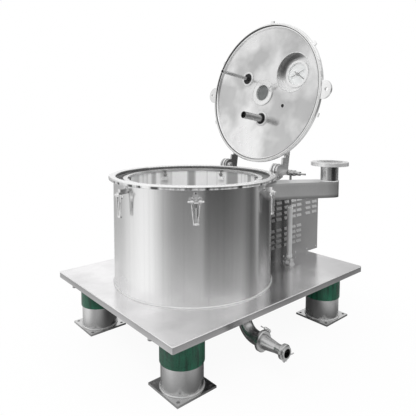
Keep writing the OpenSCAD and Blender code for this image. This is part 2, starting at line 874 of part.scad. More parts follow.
// Latch bracket on the casing wall with its cross pin, under the rim
module latch_bracket(a) color(steel) place() rotate(a) {
    difference() {
        union() {
            translate([casing_r - 10, -latch_boss_w / 2, latch_z + 8])
                cube([latch_r - casing_r + 10, latch_boss_w, latch_arm_h]);
            translate([latch_r, 0, latch_z]) upright(latch_boss_w) {
                circle(r = latch_boss_r, $fn = 48);
                translate([-latch_boss_r, 0]) square([2 * latch_boss_r, 20]);
            }
            for (s = [-1, 1]) {
                translate([casing_r - 10, s * latch_foot_y, latch_z + 12])
                    rotate([s * latch_foot_tilt, 0, 0])
                        translate([0, -5, -2])
                            cube([14, 10, latch_foot_len]);
            }
        }
        translate([0, 0, latch_z - 60]) cylinder(r = casing_r, h = 160);
    }
    translate([latch_r, -bar_len / 2, latch_z])
        rotate([-90, 0, 0])
            cylinder(d = wire_d, h = bar_len, $fn = 48);
}

// Hanging latch: two eyes on the cross pin, a tapered wire loop and a flat lever
module latch(a) color(steel) place() rotate(a) translate([latch_r, 0, latch_z]) {
    drop = bail_len - wire_d / 2;
    lean = atan2(bail_top_y - bail_low_y, drop - bail_neck);
    for (s = [-1, 1]) {
        difference() {
            translate([0, s * bail_top_y, 0]) upright(bail_eye_w) {
                circle(r = wire_d, $fn = 48);
                translate([-wire_d / 2 - 1, -bail_neck - 2]) square([wire_d + 2, bail_neck + 2]);
            }
            translate([0, -bar_len, 0])
                rotate([-90, 0, 0])
                    cylinder(r = wire_d / 2 + pin_clear, h = 2 * bar_len, $fn = 48);
        }
        translate([0, s * bail_top_y, -bail_neck])
            rotate([-s * lean, 0, 0])
                translate([0, 0, -(drop - bail_neck) / cos(lean)])
                    cylinder(d = wire_d, h = (drop - bail_neck) / cos(lean), $fn = 24);
    }
    translate([0, -bail_low_y - wire_d / 2 - 1, -drop])
        rotate([-90, 0, 0])
            cylinder(d = wire_d + 2, h = 2 * bail_low_y + wire_d + 2, $fn = 24);
    translate([-lever_th / 2, -lever_w / 2, -drop])
        cube([lever_th, lever_w, drop - lever_top]);
}

module drain_elbow() color(steel) place() translate([drain_x, -drain_front, 0]) {
    r_out = drain_d / 2;
    r_in = r_out - drain_wall;
    translate([0, 0, drain_z + drain_bend]) ring(r_out, r_in, plate_bot - drain_z - drain_bend);
    translate([0, -drain_bend, drain_z + drain_bend])
        rotate([90, 0, 90])
            rotate_extrude(angle = -90, start = 0)
                translate([drain_bend, 0])
                    difference() {
                        circle(r = r_out);
                        circle(r = r_in);
                    }
    translate([0, -drain_bend, drain_z])
        rotate([90, 0, 0])
            ring(r_out, r_in, stub_len);
}

// Two-bolt pipe clamp with a grooved outside
module clamp_ring(y, d, r_in) {
    translate([drain_x, y, drain_z])
        rotate([90, 0, 0])
            rotate_extrude()
                translate([r_in, 0])
                    polygon([[0, 0], [d / 2 - r_in - 4, 0], [d / 2 - r_in, 4],
                             [d / 2 - r_in, clamp_w - 4], [d / 2 - r_in - 4, clamp_w],
                             [0, clamp_w]]);
}

module drain_clamp_large() color(steel) place() {
    clamp_ring(clamp_a_y, clamp_d, drain_d / 2 - drain_wall);
}

module drain_cone() color(steel) place() translate([drain_x, cone_y, drain_z]) rotate([90, 0, 0]) {
    difference() {
        union() {
            cylinder(d1 = drain_d, d2 = outlet_d, h = cone_len);
            translate([0, 0, cone_len]) cylinder(d = outlet_d, h = outlet_len);
        }
        translate([0, 0, -eps])
            cylinder(d1 = drain_d - 2 * drain_wall, d2 = outlet_d - 2 * drain_wall,
                     h = cone_len + 2 * eps);
        translate([0, 0, cone_len])
            cylinder(d = outlet_d - 2 * drain_wall, h = outlet_len + 1);
    }
}

module drain_clamp_small() color(steel) place() {
    clamp_ring(clamp_b_y, clamp_small_d, outlet_d / 2 - drain_wall);
    translate([drain_x, clamp_b_y - clamp_w, drain_z])
        rotate([90, 0, 0])
            ring(drain_lip_r, outlet_d / 2 - drain_wall, drain_lip_h);
}

base_plate();
leg(leg_x[0], -leg_y);  // leg_front_left
leg(leg_x[1], -leg_y);  // leg_front_right
leg(leg_x[0], leg_y);  // leg_back_left
leg(leg_x[1], leg_y);  // leg_back_right
collar(leg_x[0], -leg_y);  // collar_front_left
collar(leg_x[1], -leg_y);  // collar_front_right
collar(leg_x[0], leg_y);  // collar_back_left
collar(leg_x[1], leg_y);  // collar_back_right
casing_wall_part();  // casing_wall
casing_floor();
casing_rim();
bearing_housing();
belt_guard();
basket_wall();
basket_floor();
basket_lip();
spindle();
motor_cover();
vent_duct();
vent_pipe();
vent_flange();
hinge_bracket(-arm_front);  // hinge_bracket_front
hinge_bracket(arm_back);  // hinge_bracket_back
cylinder_foot();
cylinder_body();
cylinder_rod();
lid_plate();
lid_ring();
lid_seal();
lid_arm(-arm_front, true);  // lid_arm_front
lid_arm(arm_back, false);  // lid_arm_back
sight_nozzle();
sight_nozzle_glass();
sight_ring();
sight_ring_glass();
wash_pipe();
feed_pipe();
latch_bracket(latch_angles[0]);  // latch_bracket_1
latch_bracket(latch_angles[1]);  // latch_bracket_2
latch_bracket(latch_angles[2]);  // latch_bracket_3
latch_bracket(latch_angles[3]);  // latch_bracket_4
latch_bracket(latch_angles[4]);  // latch_bracket_5
latch(latch_angles[0]);  // latch_1
latch(latch_angles[1]);  // latch_2
latch(latch_angles[2]);  // latch_3
latch(latch_angles[3]);  // latch_4
latch(latch_angles[4]);  // latch_5
drain_elbow();
drain_clamp_large();
drain_cone();
drain_clamp_small();
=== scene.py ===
import json
import math
import bpy
import bmesh
from mathutils import Matrix, Vector


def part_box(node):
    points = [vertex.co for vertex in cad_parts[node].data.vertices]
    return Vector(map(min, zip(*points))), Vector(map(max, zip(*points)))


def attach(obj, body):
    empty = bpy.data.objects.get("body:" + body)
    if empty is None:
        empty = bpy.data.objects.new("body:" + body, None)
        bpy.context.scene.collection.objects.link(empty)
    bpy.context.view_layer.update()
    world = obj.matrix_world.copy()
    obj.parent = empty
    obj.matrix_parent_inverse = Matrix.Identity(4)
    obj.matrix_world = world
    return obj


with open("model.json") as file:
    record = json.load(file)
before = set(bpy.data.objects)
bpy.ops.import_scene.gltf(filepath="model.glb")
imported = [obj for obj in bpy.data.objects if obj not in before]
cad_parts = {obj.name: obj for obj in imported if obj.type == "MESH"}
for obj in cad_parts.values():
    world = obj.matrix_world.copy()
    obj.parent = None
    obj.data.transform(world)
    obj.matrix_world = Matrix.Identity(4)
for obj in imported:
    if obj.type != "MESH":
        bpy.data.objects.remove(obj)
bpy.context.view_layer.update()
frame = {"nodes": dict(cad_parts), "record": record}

NODES = frame["nodes"]
rad = math.radians

# ---------------------------------------------------------------- places
# In millimetres from the casing's axis and the floor; the lid's places are given with the lid closed.
_lo, _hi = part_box("casing_wall")
AX = (_lo[0] + _hi[0]) / 2              # casing axis in the row frame, in metres
AY = (_lo[1] + _hi[1]) / 2
AXIS = (AX, AY, 0)
HINGE_X, HINGE_Z = 550, 1016            # axis of the lid's hinge
LID_OPEN = 98.5                         # degrees the lid stands open at rest
LID_Z = 1041                            # underside of the closed lid's plate
ARMS_Y = (-256, 240)                    # front and back arm of the lid
SIGHT = (-132, -251)                    # large sight nozzle in the lid
SIGHT_GLASS_Z = LID_Z + 62              # underside of its glass
FEED, WASH = (190, -12), (-112, 164)    # the two pipes through the lid
BOSS = (99, -195)                       # blind instrument boss in the lid
VENT = (600, -610)                      # axis of the vent pipe
DRAIN_X, DRAIN_Z = -80, 207             # axis of the drain's outlet, which runs along y
COVER_Y = 179                           # side faces of the motor cover, left and right of the axis
COVER_X, COVER_LONG, COVER_TOP = 516, 605, 853
LIFT = (639.26, -277)                   # axis of the lift cylinder
LATCH_TURNS = (65, 120, 182, 232.5, 288.5)
LATCH_R, LATCH_Z = 545, 941             # pivots of the latches
WALL_FACE = 500.2                       # just outside the casing's wall
INSIDE = 0.4985                         # radius between the two faces of the casing's wall, in metres
PHOTO_RIGHT = (0.7534, -0.6576, 0)      # the photograph's left to right, level with the floor
UP = Vector((0, 0, 1))

HINGE = Vector((AX + HINGE_X / 1000, AY, HINGE_Z / 1000))
OPEN = Matrix.Translation(HINGE) @ Matrix.Rotation(rad(LID_OPEN), 4, "Y") @ Matrix.Translation(-HINGE)


def C(x, y, z):
    """A point given in millimetres from the casing axis, as metres in the row frame."""
    return Vector((AX + x / 1000, AY + y / 1000, z / 1000))


def L(x, y, z):
    """The same for a piece of the lid, given with the lid closed, at its open place."""
    return OPEN @ C(x, y, z)


def LD(x, y, z):
    """A direction on the closed lid, turned to the open place."""
    return OPEN.to_3x3() @ Vector((x, y, z))


# ---------------------------------------------------------------- shader nodes
def node(nt, kind, **sets):
    n = nt.nodes.new(kind)
    for k, v in sets.items():
        setattr(n, k, v)
    return n


def feed(nt, socket, value):
    """Links an output to a socket, or puts a constant in it."""
    if isinstance(value, bpy.types.NodeSocket):
        nt.links.new(value, socket)
    else:
        socket.default_value = value


def calc(nt, op, a, b=None):
    n = node(nt, "ShaderNodeMath", operation=op)
    feed(nt, n.inputs[0], a)
    if b is not None:
        feed(nt, n.inputs[1], b)
    return n.outputs[0]


def hypot(nt, a, b):
    return calc(nt, "SQRT", calc(nt, "ADD", calc(nt, "MULTIPLY", a, a), calc(nt, "MULTIPLY", b, b)))


def span(nt, value, lo, hi, to_lo=0.0, to_hi=1.0, kind="LINEAR"):
    """Runs from to_lo to to_hi while value goes from lo to hi, and stays there beyond."""
    n = node(nt, "ShaderNodeMapRange", interpolation_type=kind)
    for name, v in (("Value", value), ("From Min", lo), ("From Max", hi),
                    ("To Min", to_lo), ("To Max", to_hi)):
        feed(nt, n.inputs[name], v)
    return n.outputs["Result"]


def ramp(nt, fac, stops):
    """Colour ramp of (place, grey or colour) pairs."""
    r = node(nt, "ShaderNodeValToRGB")
    e = r.color_ramp.elements
    while len(e) < len(stops):
        e.new(0.5)
    for i, (p, c) in enumerate(stops):
        e[i].position = p
        e[i].color = (c, c, c, 1) if isinstance(c, float) else (*c, 1)
    nt.links.new(fac, r.inputs["Fac"])
    return r.outputs["Color"]


def blend(nt, fac, a, b, kind="MIX"):
    """Mix of two colours, where a plain number is a grey."""
    n = node(nt, "ShaderNodeMix", data_type="RGBA", blend_type=kind)
    feed(nt, n.inputs["Factor"], fac)
    for name, v in (("A", a), ("B", b)):
        feed(nt, n.inputs[name], (v, v, v, 1) if isinstance(v, float) else v)
    return n.outputs["Result"]


def noise(nt, scale, detail=3.0, rough=0.5, stretch=(1, 1, 1), shift=0.0):
    tc = node(nt, "ShaderNodeTexCoord")
    mp = node(nt, "ShaderNodeMapping")
    mp.inputs["Scale"].default_value = stretch
    mp.inputs["Location"].default_value = (shift, shift * 0.7, shift * 1.3)
    nt.links.new(tc.outputs["Object"], mp.inputs["Vector"])
    nz = node(nt, "ShaderNodeTexNoise")
    for name, v in (("Vector", mp.outputs["Vector"]), ("Scale", scale), ("Detail", detail),
                    ("Roughness", rough)):
        feed(nt, nz.inputs[name], v)
    return nz.outputs["Fac"]


def bumped(nt, height, strength, distance, normal=None):
    n = node(nt, "ShaderNodeBump")
    for name, v in (("Height", height), ("Strength", strength), ("Distance", distance)):
        feed(nt, n.inputs[name], v)
    if normal is not None:
        nt.links.new(normal, n.inputs["Normal"])
    return n.outputs["Normal"]


def place_of(nt, origin=(0, 0, 0)):
    """Object coordinates from an origin, as a vector and its parts."""
    tc = node(nt, "ShaderNodeTexCoord")
    off = node(nt, "ShaderNodeVectorMath", operation="SUBTRACT")
    off.inputs[1].default_value = tuple(origin)
    nt.links.new(tc.outputs["Object"], off.inputs[0])
    sp = node(nt, "ShaderNodeSeparateXYZ")
    nt.links.new(off.outputs[0], sp.inputs[0])
    return off.outputs[0], sp.outputs


def dot(nt, v, way):
    n = node(nt, "ShaderNodeVectorMath", operation="DOT_PRODUCT")
    nt.links.new(v, n.inputs[0])
    n.inputs[1].default_value = tuple(way)
    return n.outputs["Value"]


def length(nt, v):
    n = node(nt, "ShaderNodeVectorMath", operation="LENGTH")
    nt.links.new(v, n.inputs[0])
    return n.outputs["Value"]


def across(nt, origin, lo, hi, to_lo=0.0, to_hi=1.0):
    """Runs from to_lo to to_hi between two distances from origin towards the photograph's right."""
    return span(nt, dot(nt, place_of(nt, origin)[0], PHOTO_RIGHT), lo, hi, to_lo, to_hi)


def angle_and_radius(nt):
    """Angle round the casing's axis, distance from it, and the parts of the place."""
    _, q = place_of(nt, AXIS)
    return calc(nt, "ARCTAN2", q["Y"], q["X"]), hypot(nt, q["X"], q["Y"]), q


def streaks(nt, ang, count, stops, seed=0.0):
    """Uneven upright stripes round the axis."""
    nz = node(nt, "ShaderNodeTexNoise", noise_dimensions="1D")
    for name, v in (("Scale", count), ("Detail", 1.0), ("W", calc(nt, "ADD", ang, 10.0 + seed))):
        feed(nt, nz.inputs[name], v)
    return ramp(nt, nz.outputs["Fac"], stops)


# ---------------------------------------------------------------- kinds of material
def new_material(name):
    """A node material, its tree and its Principled node."""
    m = bpy.data.materials.new(name)
    m.use_nodes = True
    return m, m.node_tree, m.node_tree.nodes["Principled BSDF"]


def metal(name, tone, rough, grain=(1, 1, 1), grain_scale=260.0, spread=0.05, rough_spread=0.07,
          cloud=3.0, cloud_amt=0.05, bump=0.04, wave=0.0, wave_scale=7.0, aniso=0.0, turn=0.0,
          metallic=1.0, tint=(1.0, 1.0, 1.0), crisp=(0.30, 0.70)):
    """Ground or polished metal: fine grain along one direction, slow clouds and a soft unevenness."""
    m, nt, b = new_material(name)
    fine = noise(nt, grain_scale, 2.0, 0.6, grain)
    slow = noise(nt, cloud, shift=3.1)
    grains = ramp(nt, fine, [(0.25, tuple(tone * t * (1 - spread) for t in tint)),
                             (0.75, tuple(min(1.0, tone * t * (1 + spread)) for t in tint))])
    clouds = ramp(nt, slow, [(crisp[0], 1.0 - cloud_amt), (crisp[1], 1.0)])
    feed(nt, b.inputs["Base Color"], blend(nt, 1.0, grains, clouds, "MULTIPLY"))
    feed(nt, b.inputs["Roughness"],
         span(nt, slow, 0.25, 0.75, max(0.02, rough - rough_spread), rough + rough_spread))
    b.inputs["Metallic"].default_value = metallic
    big = bumped(nt, noise(nt, wave_scale, 2.0, shift=9.7), wave, 0.02) if wave else None
    feed(nt, b.inputs["Normal"], bumped(nt, fine, bump, 0.0004, big))
    if aniso:
        b.inputs["Anisotropic"].default_value = aniso
        b.inputs["Anisotropic Rotation"].default_value = turn
        tg = node(nt, "ShaderNodeTangent", direction_type="RADIAL", axis="Z")
        nt.links.new(tg.outputs["Tangent"], b.inputs["Tangent"])
    return m


def coat(name, colour, rough, spread=0.08, scale=40.0, bump=0.15):
    """Paint, rubber or moulded plastic with a slight mottle and orange peel."""
    m, nt, b = new_material(name)
    fine = noise(nt, scale * 6, 3.0, 0.6)
    slow = noise(nt, scale / 4, 4.0, 0.55, shift=5.0)
    deep = tuple(c * (1 - spread) for c in colour)
    pale = tuple(min(1.0, c * (1 + spread)) for c in colour)
    feed(nt, b.inputs["Base Color"], ramp(nt, slow, [(0.30, deep), (0.70, pale)]))
    feed(nt, b.inputs["Roughness"], span(nt, fine, 0.3, 0.7, max(0.03, rough - 0.06), rough + 0.06))
    feed(nt, b.inputs["Normal"], bumped(nt, fine, bump, 0.0005))
    return m


def glass(name, lo, hi, through):
    """Sight glass that lets a share of the light through, slightly uneven in tone."""
    m, nt, b = new_material(name)
    slow = noise(nt, 18.0, 2.0)
    feed(nt, b.inputs["Base Color"], ramp(nt, slow, [(0.3, lo), (0.7, hi)]))
    feed(nt, b.inputs["Roughness"], span(nt, slow, 0.3, 0.7, 0.03, 0.08))
    b.inputs["Transmission Weight"].default_value = through
    b.inputs["IOR"].default_value = 1.5
    return m


# ---------------------------------------------------------------- the materials
M = {
    "stainless_steel": metal("stainless", 0.60, 0.24, grain=(1, 1, 0.2), bump=0.05, cloud_amt=0.08),
    "polished_steel": metal("polished", 1.0, 0.21, grain=(0.25, 0.25, 6.0), grain_scale=120, spread=0.02,
                            rough_spread=0.02, cloud=2.0, cloud_amt=0.03, bump=0.012, aniso=0.8, turn=0.25),
    # the plate's slight mauve tint is a painted reflection
    "plate_steel": metal("plate", 0.98, 0.22, grain=(0.08, 1.6, 1), grain_scale=240, spread=0.035,
                         rough_spread=0.06, cloud=3.4, cloud_amt=0.16, bump=0.05, tint=(1.0, 0.985, 1.0),
                         wave=0.10, wave_scale=4.0, crisp=(0.38, 0.62)),
    "leg_steel": metal("leg", 0.68, 0.24, grain=(0.3, 0.3, 5.0), grain_scale=140, spread=0.04, bump=0.03,
                       aniso=0.4, turn=0.25),
    "cover_steel": metal("cover", 0.95, 0.21, grain=(1.0, 1, 0.1), spread=0.04, metallic=0.72),
    "basket_steel": metal("basket", 0.86, 0.45, grain=(1, 1, 0.15), bump=0.05, cloud_amt=0.08, metallic=0.8),
    "basket_wall": metal("basket_wall", 0.98, 0.34, grain=(1, 1, 0.15), metallic=0.15),
    "lip_steel": metal("lip", 0.95, 0.20, spread=0.02, cloud=5.0, cloud_amt=0.25, bump=0.02, metallic=0.7),
    "rim_turned": metal("rim_turned", 0.94, 0.17, spread=0.02, rough_spread=0.04, cloud=9.0, cloud_amt=0.06,
                        bump=0.015, metallic=0.75),
    "lid_steel": metal("lid_inside", 1.0, 0.20, grain_scale=150, spread=0.02, rough_spread=0.12, cloud=3.6,
                       cloud_amt=0.36, bump=0.02, wave=0.9, wave_scale=3.6, metallic=0.8, crisp=(0.40, 0.60)),
    "lid_rim": metal("lid_edge", 0.97, 0.18, spread=0.02, cloud=6.0, cloud_amt=0.12, bump=0.02,
                     metallic=0.85),
    "nozzle_steel": metal("nozzle", 0.94, 0.26, spread=0.02, cloud=9.0, cloud_amt=0.10, bump=0.02,
                          metallic=0.65),
    "latch_steel": metal("latch", 0.97, 0.11, bump=0.02, cloud=20, cloud_amt=0.08, metallic=0.82),
    "ram_steel": metal("ram", 0.88, 0.42, grain=(1, 1, 0.2), metallic=0.5),
    "flange_steel": metal("flange", 0.93, 0.30, spread=0.03, bump=0.03, metallic=0.65),
    "hinge_steel": metal("hinge", 0.90, 0.20, spread=0.04, bump=0.03, metallic=0.75),
    "pipe_steel": metal("pipe", 0.92, 0.20, spread=0.03, bump=0.02, metallic=0.85),
    "duct_steel": metal("duct", 0.80, 0.45, grain=(1, 1, 0.2), rough_spread=0.05, cloud_amt=0.10, bump=0.05,
                        metallic=0.8),
    "arm_steel": metal("arm", 0.50, 0.28, bump=0.06, cloud=12, cloud_amt=0.12),
    # the front arm is a lighter copy of the arm steel: painted light
    "front_arm": metal("arm_front", 0.72, 0.28, bump=0.06, cloud=12, cloud_amt=0.12, metallic=0.75),
    "chromed_rod": metal("chromed", 0.72, 0.07, bump=0.0, spread=0.01, rough_spread=0.02),
    "shaft_steel": metal("shaft", 0.50, 0.22, grain=(1, 1, 4), bump=0.03),
    "weld": metal("weld", 0.84, 0.34, grain_scale=330, spread=0.06, bump=0.5, cloud=40, cloud_amt=0.1,
                  metallic=0.5),
    "bolt": metal("bolt", 0.80, 0.18, grain_scale=400, spread=0.08, bump=0.08, metallic=0.85),
    "green_sleeve": coat("sleeve", (0.006, 0.104, 0.056), 0.30, spread=0.34, scale=34, bump=0.30),
    "white_seal": coat("gasket", (0.76, 0.76, 0.755), 0.5, spread=0.05, bump=0.2),
    "cast_housing": coat("casting", (0.16, 0.17, 0.18), 0.5, spread=0.15, scale=30, bump=0.5),
    "guard_paint": coat("guard", (0.22, 0.235, 0.24), 0.42, scale=24, bump=0.2),
    # serves as painted shade in the louvre slots, round the lid's pipes and in the blind boss
    "dark": coat("dark_gap", (0.012, 0.012, 0.013), 0.6, spread=0.2, bump=0.1),
    # rubber also serves the latches' painted dark reflection and the painted shade on their levers
    "rubber": coat("black_rubber", (0.02, 0.02, 0.022), 0.55, spread=0.2, bump=0.3),
    "sight_glass": glass("sight_glass", (0.84, 0.855, 0.855), (0.92, 0.93, 0.93), 0.70),
    # the middle glass is tinted dark: painted shade of the dark inside behind it
    "shaded_glass": glass("shaded_glass", (0.12, 0.13, 0.13), (0.24, 0.25, 0.25), 0.2),
}


# ---------------------------------------------------------------- tones laid over the materials
def mask_into(m, mask):
    """Multiplies a material's colour by a mask."""
    nt = m.node_tree
    socket = nt.nodes["Principled BSDF"].inputs["Base Color"]
    feed(nt, socket, blend(nt, 1.0, socket.links[0].from_socket, mask, "MULTIPLY"))


def middle(lo, hi, z=0.0):
    """Point at height z on the upright axis through the middle of a box, in metres."""
    return (lo[0] + hi[0]) / 2, (lo[1] + hi[1]) / 2, z


def height_in(nt, lo, hi):
    """0 to 1 from the bottom to the top of a box."""
    return span(nt, place_of(nt)[1]["Z"], lo[2], hi[2])


def shade_basket_wall(m):
    """Rows of small holes between the large ones, below the plain band, as dark dots of painted shade, and
    painted reflections as uneven upright tones.
    """
    nt = m.node_tree
    ang, _, q = angle_and_radius(nt)
    dots_round, dot_pitch, band = 96, 0.028, 0.850      # the last is the plain band's lower edge
    fu = calc(nt, "SUBTRACT", calc(nt, "FRACT", calc(nt, "MULTIPLY", ang, dots_round / math.tau)), 0.5)
    fv = calc(nt, "SUBTRACT", calc(nt, "FRACT", calc(nt, "MULTIPLY", q["Z"], 1 / dot_pitch)), 0.5)
    # painted shade: the small holes are dark dots
    dots = ramp(nt, hypot(nt, fu, fv), [(0.16, 0.10), (0.20, 1.0)])
    high = ramp(nt, q["Z"], [(band, 0.0), (band + 0.002, 1.0)])
    mask_into(m, blend(nt, 1.0, dots, high, "LIGHTEN"))
    # painted reflections: uneven upright stripes of lighter and darker tone
    mask_into(m, streaks(nt, ang, 2.6, [(0.34, 0.40), (0.42, 0.66), (0.46, 1.0), (0.57, 1.0), (0.61, 0.74),
                                        (0.66, 1.0)]))


def shade_sleeves(m):
    """Painted shade in uneven upright creases of the rubber sleeves."""
    nt = m.node_tree
    # painted shade: darker upright streaks for the creases
    mask_into(m, ramp(nt, noise(nt, 44.0, 2.0, 0.5, (1, 1, 0.10), 2.0),
                      [(0.38, 0.45), (0.46, 0.80), (0.56, 1.0), (0.66, 0.72)]))


def shade_casing(m):
    """Softer, less metallic finish inside; outside less metallic low down and to the left, so the lamps light
    it brighter there; painted shade darker towards the top, and painted reflections as faint upright streaks
    and as bands at the right.
    """
    nt = m.node_tree
    b = nt.nodes["Principled BSDF"]
    ang, r, q = angle_and_radius(nt)
    inside = calc(nt, "LESS_THAN", r, INSIDE)
    old = b.inputs["Roughness"].links[0].from_socket
    feed(nt, b.inputs["Roughness"], calc(nt, "ADD", old, calc(nt, "MULTIPLY", inside, 0.20)))
    low = span(nt, q["Z"], 0.45, 0.76, 1.0, 0.0)
    soft = calc(nt, "MULTIPLY", low, across(nt, AXIS, -0.50, 0.10, 0.34, 0.06))
    feed(nt, b.inputs["Metallic"],
         calc(nt, "MULTIPLY", span(nt, inside, 0.0, 1.0, 1.0, 0.55), calc(nt, "SUBTRACT", 1.0, soft)))
    # painted shade: darker towards the top
    mask_into(m, ramp(nt, q["Z"], [(0.30, 1.0), (0.60, 0.91), (1.0, 0.84)]))
    # painted reflections: faint upright streaks
    mask_into(m, streaks(nt, ang, 30.0, [(0.36, 0.97), (0.44, 1.0), (0.55, 0.99), (0.66, 1.0)], 1.3))
    # painted reflections: dark upright bands at the right, fading upwards
    bands = ramp(nt, across(nt, AXIS, 0.28, 0.50), [
        (0.0, 1.0), (0.25, 0.64), (0.42, 0.60), (0.56, 0.96), (0.68, 0.96), (0.80, 0.62), (1.0, 0.60)])
    mask_into(m, blend(nt, span(nt, q["Z"], 0.60, 0.98, 1.0, 0.25), 1.0, bands))


def shade_duct(m):
    """Painted shade: the duct is darker along its lower edge and round its outer end."""
    nt = m.node_tree
    lo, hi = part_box("vent_duct")
    # painted shade along the lower edge
    mask_into(m, ramp(nt, height_in(nt, lo, hi), [
        (0.0, 0.45), (0.10, 0.60), (0.22, 1.0), (0.80, 0.90), (0.93, 1.0)]))
    lo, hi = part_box("vent_pipe")
    # painted shade round the outer end, next to the vent pipe
    mask_into(m, ramp(nt, across(nt, middle(lo, hi), -0.20, 0.085), [
        (0.0, 1.0), (0.60, 0.92), (0.80, 0.62), (0.90, 0.40), (0.96, 0.85), (1.0, 0.90)]))


def shade_vent_pipe(m):
    """Painted reflection: a dark stripe up the vent pipe, as a polished tube mirrors it, with pale sides."""
    nt = m.node_tree
    lo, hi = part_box("vent_pipe")
    pipe_r = 0.054
    # painted reflection across the pipe
    mask_into(m, ramp(nt, across(nt, middle(lo, hi), -pipe_r, pipe_r), [
        (0.0, 0.45), (0.10, 0.80), (0.30, 0.70), (0.44, 0.62), (0.50, 0.22), (0.66, 0.18), (0.76, 0.40),
        (0.86, 1.0), (1.0, 0.75)]))


def shade_rim(m):
    """Rim plain on top, with painted reflections as dark and bright lengths on its rounded lower edge, and
    painted shade on its inward face.
    """
    nt = m.node_tree
    edge_r, edge_top = 0.515, 1.0085            # the edge lies outside and under these, in metres
    ang, r, q = angle_and_radius(nt)
    # painted reflections: dark and bright lengths round the lower edge
    reflection_dashes = streaks(nt, ang, 9.0, [(0.36, 0.10), (0.44, 0.45), (0.50, 0.95), (0.58, 0.60), (0.66, 0.95)], 3.7)
    top_face = span(nt, q["Z"], edge_top, 1.0125)
    mask_into(m, blend(nt, calc(nt, "MAXIMUM", top_face, calc(nt, "LESS_THAN", r, edge_r)), reflection_dashes, 1.0))
    # painted shade on the inward face
    bore = min(math.hypot(v.co.x - AX, v.co.y - AY) for v in NODES["casing_rim"].data.vertices)
    mask_into(m, span(nt, r, bore + 0.0010, bore + 0.0025, 0.30, 1.0))


def shade_hooks(m):
    """Painted shade: the ball hooks inside the lip are darker than the lip."""
    nt = m.node_tree
    hook_r, lip_r = 0.4100, 0.4118              # the hooks end and the lip begins, in metres
    # painted shade on the hooks
    mask_into(m, ramp(nt, angle_and_radius(nt)[1], [(hook_r, 0.34), (lip_r, 1.0)]))


def shade_nozzle(m):
    """Painted shade: a dark crescent on the upper left of the sight nozzle's cone, nearest the lid."""
    nt = m.node_tree
    v, _ = place_of(nt, L(*SIGHT, LID_Z + 30))
    rise, left = dot(nt, v, LD(-1, 0, 0)), dot(nt, v, (0, 1, 0))
    r = hypot(nt, rise, left)
    way = calc(nt, "ADD", calc(nt, "MULTIPLY", rise, 0.74), calc(nt, "MULTIPLY", left, 0.67))
    way = calc(nt, "DIVIDE", way, r)
    ring = ramp(nt, r, [(0.098, 0.0), (0.112, 0.35), (0.124, 1.0), (0.139, 0.9), (0.150, 0.0)])
    k = calc(nt, "MULTIPLY", span(nt, way, 0.30, 0.90, kind="SMOOTHSTEP"), ring)
    # painted shade in the crescent
    mask_into(m, ramp(nt, k, [(0.0, 1.0), (1.0, 0.30)]))


def shade_seal(m):
    """The gasket's inward face lies in the shade of the lid's edge, most at the upper left."""
    nt = m.node_tree
    centre, axis = L(0, 0, LID_Z), LD(0, 0, 1)
    seal = NODES["lid_seal"]
    bore = min(((seal.matrix_world @ v.co) - centre).cross(axis).length for v in seal.data.vertices)
    v, _ = place_of(nt, centre)
    cr = node(nt, "ShaderNodeVectorMath", operation="CROSS_PRODUCT")
    nt.links.new(v, cr.inputs[0])
    cr.inputs[1].default_value = tuple(axis)
    wider = span(nt, dot(nt, v, LD(-0.78, 0.62, 0)), 0.20, 0.47, 0.0, 0.0075)
    r = calc(nt, "SUBTRACT", length(nt, cr.outputs[0]), wider)
    mask_into(m, span(nt, r, bore + 0.0035, bore + 0.0050, 0.06, 1.0))


def shade_lid(m):
    """Painted light and shade: the lid's inside is brighter towards its lower left than at the top right."""
    nt = m.node_tree
    v, _ = place_of(nt, L(0, 0, LID_Z))
    t = span(nt, dot(nt, v, LD(-0.80, -0.60, 0)), -0.45, 0.45)
    # painted light and shade across the lid's inside
    mask_into(m, ramp(nt, t, [(0.0, 1.0), (0.30, 0.98), (0.62, 0.84), (1.0, 0.80)]))


def shade_plate(m):
    """Sides painted in shade with a painted highlight on the fold along the top edge, and a top painted
    darker towards the right.
    """
    nt = m.node_tree
    lo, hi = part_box("base_plate")
    fold_from = 0.90                            # share of the plate's height
    t = height_in(nt, lo, hi)
    # painted shade on the sides, painted highlight on the fold
    mask_into(m, ramp(nt, t, [(0.0, 0.20), (0.07, 0.24), (0.12, 0.50), (0.30, 0.62), (0.62, 0.55),
                              (0.78, 0.52), (0.84, 0.50), (0.88, 0.56), (fold_from, 1.0), (1.0, 1.0)]))
    geo = node(nt, "ShaderNodeNewGeometry")
    parts = node(nt, "ShaderNodeSeparateXYZ")
    nt.links.new(geo.outputs["Normal"], parts.inputs[0])
    side = calc(nt, "LESS_THAN", parts.outputs["Z"], 0.5)
    fold = calc(nt, "MULTIPLY", side, calc(nt, "GREATER_THAN", t, fold_from))
    feed(nt, nt.nodes["Principled BSDF"].inputs["Metallic"],
         calc(nt, "SUBTRACT", 1.0, calc(nt, "MULTIPLY", fold, 0.75)))
    # painted shade towards the right of the top
    mask_into(m, ramp(nt, across(nt, (0, 0, 0), -0.1, 1.0), [(0.0, 1.0), (1.0, 0.84)]))


def shade_cover(m):
    """The cover's sheet is painted in shade, darkest next to the casing; its louvres get painted highlights.
    """
    nt = m.node_tree
    _, q = place_of(nt, AXIS)
    sheet_y, louvre_y = 0.1794, 0.1812          # the sheet's face and the louvres' crowns, in metres
    # painted shade on the sheet, darkest next to the casing
    sheet = ramp(nt, q["X"], [(0.0, 0.16), (0.560, 0.13), (0.600, 0.16), (0.618, 0.34), (0.655, 0.28),
                              (0.680, 0.12), (0.735, 0.24), (0.760, 0.55), (0.85, 0.64)])
    # painted highlights on the louvres
    louvres = ramp(nt, q["X"], [(0.66, 0.50), (0.72, 0.60), (0.76, 1.0)])
    proud = span(nt, calc(nt, "ABSOLUTE", q["Y"]), sheet_y, louvre_y)
    mask_into(m, blend(nt, proud, sheet, louvres))


